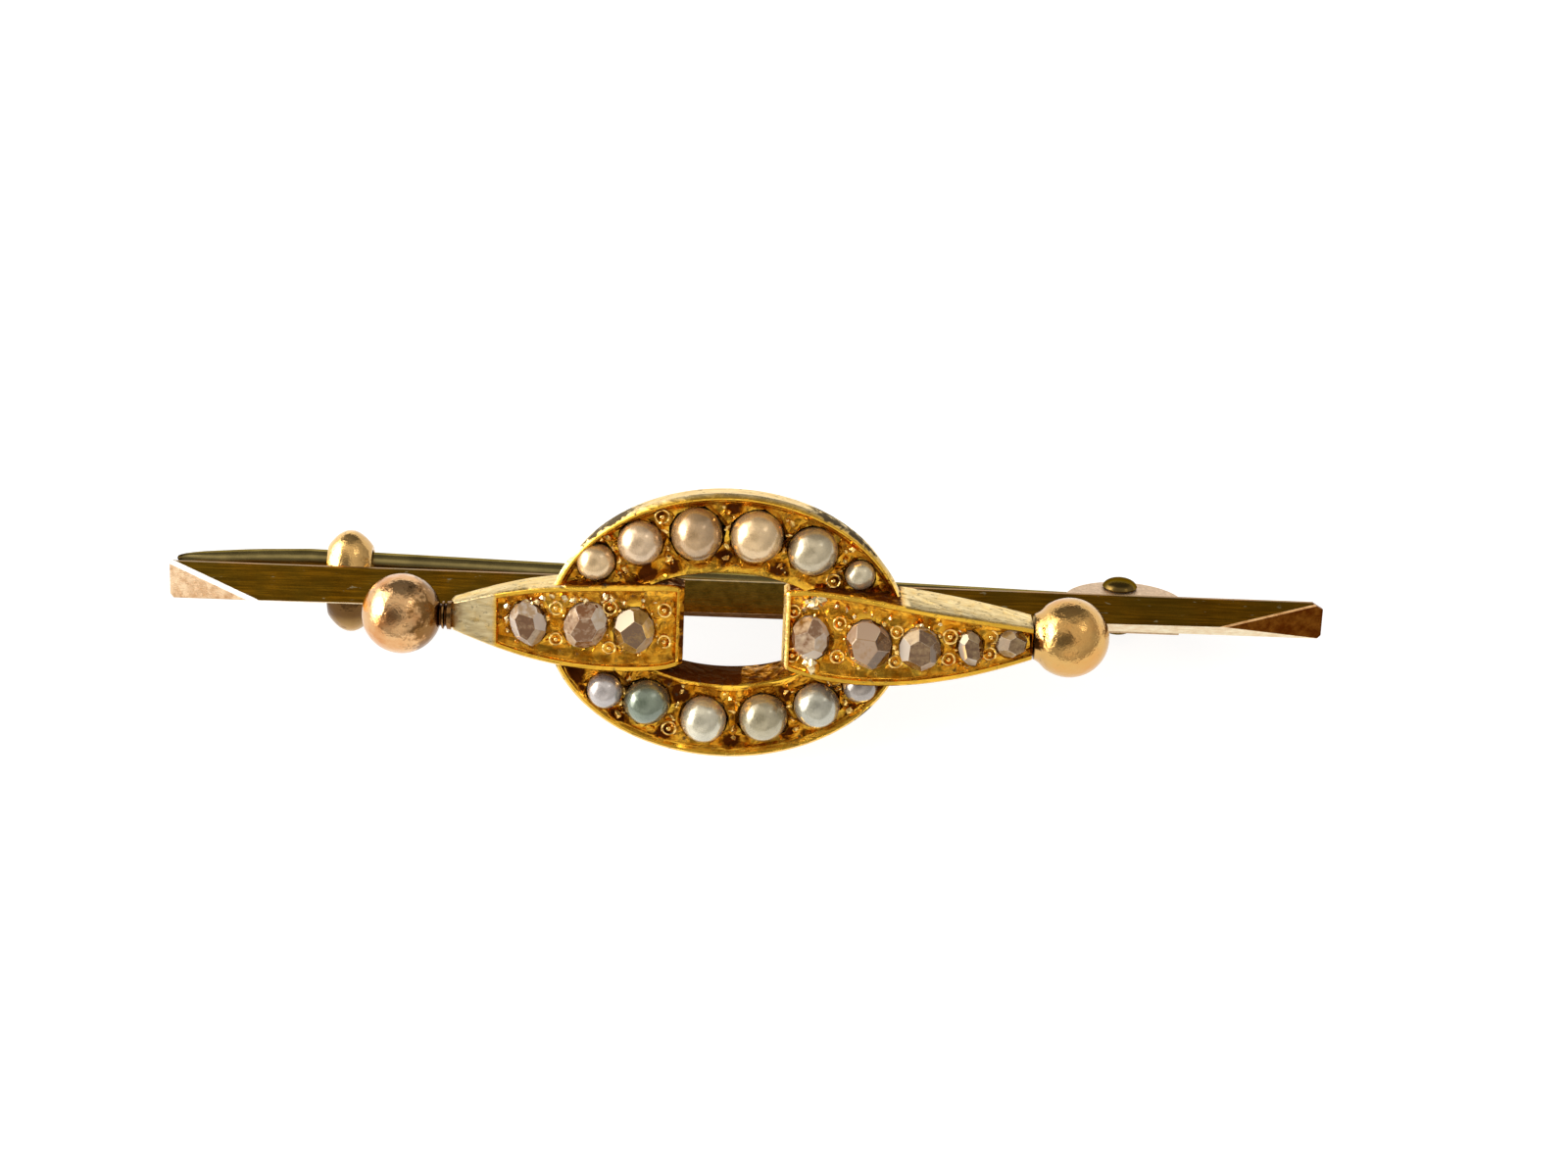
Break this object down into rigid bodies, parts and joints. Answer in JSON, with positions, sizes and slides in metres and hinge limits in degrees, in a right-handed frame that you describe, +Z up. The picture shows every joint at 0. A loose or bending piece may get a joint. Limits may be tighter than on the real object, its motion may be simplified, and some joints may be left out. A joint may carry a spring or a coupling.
{
  "type": "pearl bar brooch",
  "caption": "Gold bar brooch: an oval ring set with graduated seed pearls between two arched straps of rose-cut stones, on a knife-edge bar with a hinged pin and C-shaped catch.",
  "frame": {"origin": "on the surface that the brooch lies on, under the middle of its box", "axes": "+X along the bar from the catch to the hinge, +Z up from the surface; the face leans 40 degrees towards -Y"},
  "size_m": [0.045, 0.0092, 0.0082],
  "materials": {
    "yellow_gold": "polished gold, tarnished in the recesses",
    "pin_metal": "dull greenish gold",
    "pearl_cream": "soft pearl lustre",
    "pearl_rose": "soft pearl lustre",
    "pearl_sage": "soft pearl lustre",
    "pearl_teal": "soft pearl lustre",
    "pearl_silver": "soft pearl lustre",
    "pearl_slate": "soft pearl lustre",
    "rose_diamond": "greyish rose-cut stone"
  },
  "bodies": {
    "brooch": {"gold_frame": "yellow_gold", "hinge_rivet": "pin_metal", "pearl_upper_1": "pearl_cream", "pearl_upper_2": "pearl_rose", "pearl_upper_3": "pearl_rose", "pearl_upper_4": "pearl_cream", "pearl_upper_5": "pearl_sage", "pearl_upper_6": "pearl_cream", "pearl_lower_1": "pearl_silver", "pearl_lower_2": "pearl_teal", "pearl_lower_3": "pearl_silver", "pearl_lower_4": "pearl_silver", "pearl_lower_5": "pearl_slate", "pearl_lower_6": "pearl_slate", "rose_diamond_1": "rose_diamond", "rose_diamond_2": "rose_diamond", "rose_diamond_3": "rose_diamond", "rose_diamond_4": "rose_diamond", "rose_diamond_5": "rose_diamond", "rose_diamond_6": "rose_diamond", "rose_diamond_7": "rose_diamond", "rose_diamond_8": "rose_diamond"},
    "pin": {"pin_stem": "pin_metal"}
  },
  "joints": [
    {"name": "pin_swing", "type": "hinge", "parent": "brooch", "child": "pin", "pos_m": [0.0146, 0.00265, 0.00104], "axis": [0, -0.7607, -0.649], "range_deg": [0, 100]}
  ]
}
